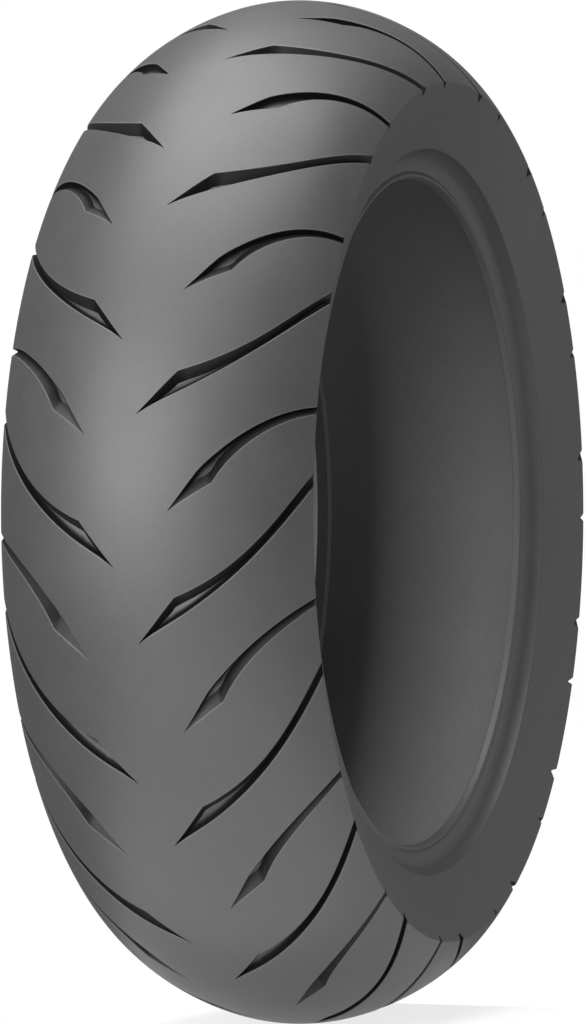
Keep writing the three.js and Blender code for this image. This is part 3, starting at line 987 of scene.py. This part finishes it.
base_mesh = ring_mesh("tread_base", [layer_section("base", BASE_HALF_WIDTH)], HIDDEN_STEPS)
add_piece("cushion_under_tread", base_mesh, base_rubber, "base_rubber", "tread_base")
belt_low = within(BELT_HALF_WIDTH, inner_face["belt"])
belt_high = ribbed_line(within(BELT_HALF_WIDTH, outer_face["belt"]))
belt_mesh = ring_mesh("belt", [[*belt_low, *reversed(belt_high)]], HIDDEN_STEPS)
add_piece("wound_belt", belt_mesh, belt_cord, "corded_rubber", "belt")
belt_end = BELT_HALF_WIDTH + CLEARANCE


def beyond_belt(distance):
    line = [p for p in within(BASE_HALF_WIDTH, distance) if p.x > belt_end]
    return [within(belt_end, distance)[-1], *line]


strip_section = [*beyond_belt(inner_face["belt"]), *reversed(beyond_belt(outer_face["belt"]))]
both_sides("belt_edge_strip", strip_section, base_rubber, "base_rubber", HIDDEN_STEPS)
ply_section = [*wrap_line(CLEARANCE), *reversed(wrap_line(CLEARANCE + THICKNESSES["ply"]))]
ply_mesh = ring_mesh("carcass_ply", [ply_section], HIDDEN_STEPS)
add_piece("radial_carcass", ply_mesh, ply_cord, "corded_rubber", "carcass_ply")
both_sides(
    "bead_filler", [filler_heel, filler_foot, filler_tip], filler_rubber, "hard_rubber", HIDDEN_STEPS
)

# %% [markdown]
# Each bead core is a bundle of wires wound round many times. The wires are round bars that stand in a
# small grid with a gap between them, inside the rectangle the bundle fills.

# %% Bead cores
WIRE_SIDES = 8
WIRES_ACROSS, WIRES_UP = 3, 5
WIRE_FILL = 0.96  # share of its room that a wire fills
wire = CORE_WIDTH / WIRES_ACROSS


def wire_section(column, row):
    middle = in_bead(core_near + wire * (column + 0.5), CORE_LIFT + wire * (row + 0.5))
    corners = [2 * math.pi * (i + 0.5) / WIRE_SIDES for i in range(WIRE_SIDES)]
    return [middle + WIRE_FILL * wire / 2 * Vector((math.cos(a), math.sin(a))) for a in corners]


bundle = [wire_section(c, r) for c in range(WIRES_ACROSS) for r in range(WIRES_UP)]
for side, sections in (("right", bundle), ("left", [mirrored(s) for s in bundle])):
    core_mesh = ring_mesh(f"bead_core_{side}", sections, HIDDEN_STEPS)
    add_piece(f"bead_wires_{side}", core_mesh, bead_wire, "bead_steel", f"bead_core_{side}")

# %% [markdown]
# The set is a pale acrylic floor lit from below, a wide softbox that stands in front like a wall of
# light, one overhead, a low strip, a weak one behind on the right and a bounce panel that lies in
# front of the tread. Black rubber shows mostly what it reflects, so large soft lights draw its shape.
# The room itself is dim; only its backdrop is white, as in a studio where the backdrop has its own
# lamps. A Light Path node does that: it makes the world white just where it is seen directly.

# %% Floor and light
FLOOR_SIZE = 2.2  # metres
FLOOR_MIDDLE = (0.95, 0.95)  # it reaches forward and right, so its glow stays off the left shoulder
FLOOR_GLOW = 0.78  # with the light that falls on it, this brings the floor near the backdrop's white
BACKDROP_BRIGHTNESS = 1.0
ROOM_BRIGHTNESS = 0.26  # what the rubber reflects where no lamp is
WHITE = (1, 1, 1, 1)


def pale_floor():
    half, drop = FLOOR_SIZE / 2, cad_box[0][2]
    mesh = bpy.data.meshes.new("floor")
    around = ((-half, -half), (half, -half), (half, half), (-half, half))
    corners = [(FLOOR_MIDDLE[0] + x, FLOOR_MIDDLE[1] + y, drop) for x, y in around]
    mesh.from_pydata(corners, [], [(0, 1, 2, 3)])
    floor = bpy.data.objects.new("floor", mesh)
    bpy.context.scene.collection.objects.link(floor)
    material, _, shader = new_material("studio_floor_backlit_acrylic", "#808080", 0.9)
    shader.inputs["Emission Color"].default_value = WHITE
    shader.inputs["Emission Strength"].default_value = FLOOR_GLOW
    shader.inputs["Specular IOR Level"].default_value = 0.0
    mesh.materials.append(material)


def studio_room():
    world = bpy.data.worlds.new("studio_room")
    world.use_nodes = True
    bpy.context.scene.world = world
    tree = world.node_tree
    seen = add_node(tree, "ShaderNodeLightPath").outputs["Is Camera Ray"]
    strength = between(tree, seen, ROOM_BRIGHTNESS, BACKDROP_BRIGHTNESS)
    shader = tree.nodes["Background"]
    shader.inputs["Color"].default_value = WHITE
    tree.links.new(strength, shader.inputs["Strength"])


def softbox(name, turn, height, distance, size, radiance, aim=(0, 0, 0)):
    """A soft panel that faces its aim, placed by its angles round and above the tread's front.

    Angles are in degrees, distance, size (width, height) and aim in metres.
    """
    turn, height = math.radians(turn), math.radians(height)
    flat = distance * math.cos(height)
    light = bpy.data.lights.new(name, "AREA")
    light.shape = "RECTANGLE"
    light.size, light.size_y = size
    light.energy = radiance * math.pi * size[0] * size[1]
    lamp = bpy.data.objects.new(name, light)
    lamp.location = (flat * math.cos(turn), flat * math.sin(turn), distance * math.sin(height))
    lamp.rotation_euler = (Vector(aim) - lamp.location).to_track_quat("-Z", "Y").to_euler()
    bpy.context.scene.collection.objects.link(lamp)


pale_floor()
studio_room()
FACING_UP = (0.42, 0.1, 9)  # a place high above the panel, so that it lies almost flat
softbox("front_softbox", turn=-13, height=16, distance=4.2, size=(5.0, 2.9), radiance=7.4)
softbox("overhead_softbox", turn=-10, height=82, distance=2.0, size=(2.2, 2.2), radiance=6.0)
softbox("low_softbox", turn=-16, height=-6, distance=1.4, size=(1.2, 0.3), radiance=3.6)
softbox("right_softbox", turn=130, height=-2, distance=3.2, size=(2.0, 2.4), radiance=0.95)
bounce = {"turn": 13.4, "height": -35.6, "distance": 0.532, "size": (0.6, 0.55), "radiance": 0.8}
softbox("bounce_panel", **bounce, aim=FACING_UP)
print("lights:", ", ".join(light.name for light in bpy.data.lights))

# %% [markdown]
# The camera looks level at the middle of the tyre from in front and to the right, far away with a
# long lens, so the rings keep nearly their true shapes.

# %% Camera
CAMERA_PLACE = Vector((3.425, 1.226, 0))
LENS_MM = 209.1
SIDE_SHIFT = -0.0163  # centres the tyre in the picture
camera_data = bpy.data.cameras.new("camera")
camera_data.lens = LENS_MM
camera_data.shift_x = SIDE_SHIFT
camera = bpy.data.objects.new("camera", camera_data)
camera.location = CAMERA_PLACE
camera.rotation_euler = (-CAMERA_PLACE).to_track_quat("-Z", "Y").to_euler()
bpy.context.scene.collection.objects.link(camera)
bpy.context.scene.camera = camera
bpy.context.scene.view_settings.view_transform = "Standard"
print("camera", round(CAMERA_PLACE.length, 2), "m away, lens", LENS_MM, "mm")
